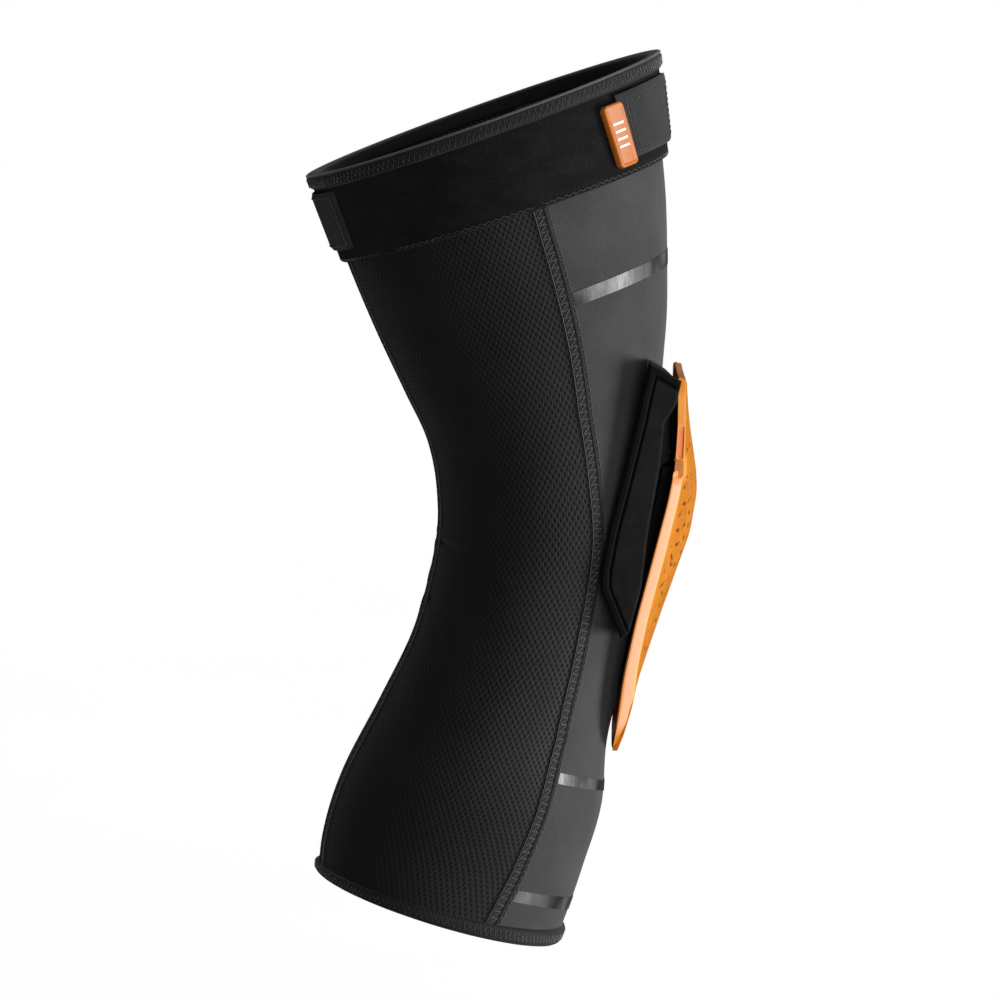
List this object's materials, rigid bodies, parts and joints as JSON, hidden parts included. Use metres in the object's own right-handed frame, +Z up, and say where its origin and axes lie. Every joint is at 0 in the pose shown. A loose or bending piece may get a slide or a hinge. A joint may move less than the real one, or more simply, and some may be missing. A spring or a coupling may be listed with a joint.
{
  "type": "knee guard",
  "caption": "Pre-bent stretch sleeve with a flexing moulded knee cap, side wings, loop cuff and a peel-back thigh strap, worn on the right knee.",
  "frame": {"origin": "the knee's hinge, in the middle of the leg, on the middle plane", "axes": "+X to the front (kneecap), +Y to the inner side of the right leg, +Z up along the leg"},
  "size_m": [0.1628, 0.1472, 0.3751],
  "materials": {
    "front_fabric": "dark grey two-way stretch fabric",
    "mesh_fabric": "black perforated stretch mesh",
    "seam_thread": "grey flatlock stitching on a black tape",
    "loop_pile": "black brushed loop pile",
    "binding": "dark folded elastic binding",
    "webbing": "dark grey woven elastic",
    "hook": "black moulded hook tape",
    "tape": "mottled silver-grey heat-applied tape",
    "wing_foam": "black moulded textured foam rubber",
    "liner_foam": "black closed-cell foam",
    "cap_rubber": "semi-matt moulded orange rubber with shallow grooves",
    "label_rubber": "semi-gloss orange rubber, no lettering",
    "silicone": "dark silicone grip band"
  },
  "bodies": {
    "shank": {"knee_front_panel": "front_fabric", "knee_mesh_panel_lateral": "mesh_fabric", "knee_mesh_panel_medial": "mesh_fabric", "knee_seam_lateral": "seam_thread", "knee_seam_medial": "seam_thread", "knee_seam_rear": "seam_thread", "shank_front_panel": "front_fabric", "shank_mesh_panel_lateral": "mesh_fabric", "shank_mesh_panel_medial": "mesh_fabric", "shank_seam_lateral": "seam_thread", "shank_seam_medial": "seam_thread", "shank_seam_rear": "seam_thread", "bottom_hem": "binding", "bottom_gripper": "silicone", "shank_tape_stripe_upper": "tape", "shank_tape_stripe_lower": "tape", "lower_knee_cap": "cap_rubber", "lower_cap_liner": "liner_foam", "side_wing_lateral": "wing_foam", "side_wing_face_lateral": "wing_foam", "side_wing_medial": "wing_foam", "side_wing_face_medial": "wing_foam"},
    "thigh": {"thigh_front_panel": "front_fabric", "thigh_mesh_panel_lateral": "mesh_fabric", "thigh_mesh_panel_medial": "mesh_fabric", "thigh_seam_lateral": "seam_thread", "thigh_seam_medial": "seam_thread", "thigh_seam_rear": "seam_thread", "thigh_tape_stripe": "tape", "top_hem": "binding", "top_gripper": "silicone", "loop_cuff": "loop_pile", "strap_anchor_tab": "webbing", "elastic_strap": "webbing"},
    "knee_cap_top": {"upper_knee_cap": "cap_rubber", "upper_cap_liner": "liner_foam"},
    "strap_tab": {"strap_hook_patch": "hook", "strap_hook_tab": "webbing", "strap_pull_label": "label_rubber"}
  },
  "joints": [
    {"name": "knee", "type": "hinge", "parent": "shank", "child": "thigh", "pos_m": [0, 0, 0], "axis": [0, -1, 0], "range_deg": [-15, 80], "stiffness_Nm_per_rad": 2, "deforming": ["knee_front_panel", "knee_mesh_panel_lateral", "knee_mesh_panel_medial", "knee_seam_lateral", "knee_seam_medial", "knee_seam_rear", "side_wing_lateral", "side_wing_face_lateral", "side_wing_medial", "side_wing_face_medial"]},
    {"name": "cap_flex", "type": "hinge", "parent": "shank", "child": "knee_cap_top", "pos_m": [0.051, 0, 0.015], "axis": [0, -1, 0], "range_deg": [-6, 32]},
    {"name": "strap_peel", "type": "hinge", "parent": "thigh", "child": "strap_tab", "pos_m": [0.05149, -0.01032, 0.16252], "axis": [-0.1073, -0.0093, 0.9942], "range_deg": [0, 120]}
  ],
  "couplings": [
    {"joint": "cap_flex", "follows": "knee", "ratio": 0.4}
  ]
}
